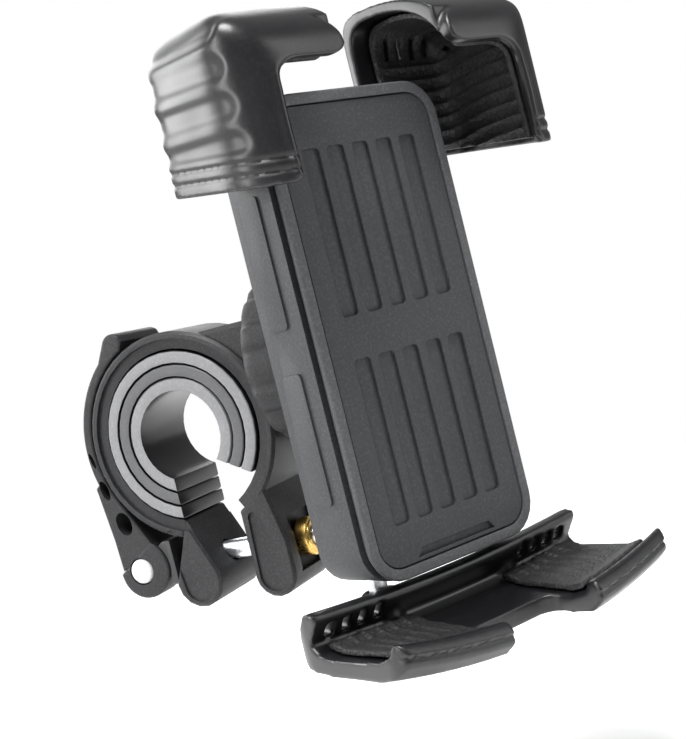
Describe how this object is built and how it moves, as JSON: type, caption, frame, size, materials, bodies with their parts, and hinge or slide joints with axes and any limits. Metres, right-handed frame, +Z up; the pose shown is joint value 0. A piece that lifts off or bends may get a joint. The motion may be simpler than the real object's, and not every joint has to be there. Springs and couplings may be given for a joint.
{
  "type": "phone handlebar mount",
  "caption": "Handlebar phone holder: two upper claws and a lower jaw that slide apart, on a ball joint with a locking collar and a lever clamp.",
  "frame": {"origin": "centre of the handlebar bore, inside all three bushings", "axes": "+Z up along the phone holder's length; the phone faces -Y; the handlebar runs in the XY plane, turned 30 degrees from +X towards +Y"},
  "size_m": [0.081, 0.1196, 0.135],
  "materials": {
    "moulded_nylon": "fine matt grain",
    "gloss_black": "soft gloss",
    "light_rubber": "matt",
    "dark_rubber": "matt",
    "soft_liner": "matt",
    "steel": "bright",
    "brass": "turned",
    "pale_nylon": "matt"
  },
  "bodies": {
    "clamp": {"clamp_body": "moulded_nylon", "bushing_inner": "light_rubber", "bushing_middle": "dark_rubber", "bushing_outer": "light_rubber", "cam_plate": "steel"},
    "collar": {"locking_collar": "moulded_nylon"},
    "bolt": {"draw_bolt": "steel"},
    "lever": {"cam_lever": "moulded_nylon", "lever_pin": "steel"},
    "nut": {"brass_nut": "brass"},
    "cup": {"ball_cup": "pale_nylon"},
    "ball": {"joint_ball": "gloss_black"},
    "holder": {"ball_stud": "steel", "rear_housing": "moulded_nylon", "front_bezel": "moulded_nylon", "silicone_pad": "soft_liner", "housing_screw_upper_right": "steel", "housing_screw_upper_left": "steel", "housing_screw_lower_right": "steel", "housing_screw_lower_left": "steel", "pinion_axle": "steel", "return_spring_right": "steel", "return_spring_left": "steel"},
    "upper_carriage": {"upper_slider": "moulded_nylon", "upper_claw_right": "gloss_black", "upper_claw_left": "gloss_black", "claw_liner_right": "soft_liner", "claw_liner_left": "soft_liner", "claw_screw_right": "steel", "claw_screw_left": "steel"},
    "lower_carriage": {"lower_slider": "moulded_nylon", "lower_jaw": "gloss_black", "jaw_liner_right": "soft_liner", "jaw_liner_left": "soft_liner", "guide_rod_right": "steel", "guide_rod_left": "steel"},
    "pinion": {"pinion": "pale_nylon"}
  },
  "joints": [
    {"name": "collar_turn", "type": "hinge", "parent": "clamp", "child": "collar", "pos_m": [0.0168, -0.0291, 0.0113], "axis": [0.5, -0.866, 0], "continuous": true},
    {"name": "bolt_slide", "type": "slide", "parent": "clamp", "child": "bolt", "axis": [0.5, -0.866, 0], "range_m": [0, 0.0015]},
    {"name": "lever_swing", "type": "hinge", "parent": "bolt", "child": "lever", "pos_m": [-0.01035, 0.01793, -0.0307], "axis": [-0.866, -0.5, 0], "range_deg": [0, 150]},
    {"name": "nut_turn", "type": "hinge", "parent": "bolt", "child": "nut", "pos_m": [0.011, -0.01905, -0.0307], "axis": [0.5, -0.866, 0], "continuous": true},
    {"name": "ball_pitch", "type": "hinge", "parent": "clamp", "child": "cup", "pos_m": [0.0168, -0.0291, 0.0113], "axis": [0.866, 0.5, 0], "range_deg": [-20, 20]},
    {"name": "ball_yaw", "type": "hinge", "parent": "cup", "child": "ball", "pos_m": [0.0168, -0.0291, 0.0113], "axis": [0, 0, 1], "range_deg": [0, 60]},
    {"name": "ball_spin", "type": "hinge", "parent": "ball", "child": "holder", "pos_m": [0.0168, -0.0291, 0.0113], "axis": [0, -1, 0], "continuous": true},
    {"name": "upper_slide", "type": "slide", "parent": "holder", "child": "upper_carriage", "axis": [0, 0, 1], "range_m": [0, 0.025], "stiffness_N_per_m": 110, "springref_m": -0.03, "deforming": ["return_spring_right", "return_spring_left"]},
    {"name": "lower_slide", "type": "slide", "parent": "holder", "child": "lower_carriage", "axis": [0, 0, -1], "range_m": [0, 0.025]},
    {"name": "pinion_turn", "type": "hinge", "parent": "holder", "child": "pinion", "pos_m": [0.0168, -0.0506, 0.0133], "axis": [0, -1, 0], "range_deg": [0, 230]}
  ],
  "couplings": [
    {"joint": "bolt_slide", "follows": "lever_swing", "m_per_rad": 0.00057},
    {"joint": "lower_slide", "follows": "upper_slide", "ratio": 1},
    {"joint": "pinion_turn", "follows": "upper_slide", "rad_per_m": 160}
  ]
}
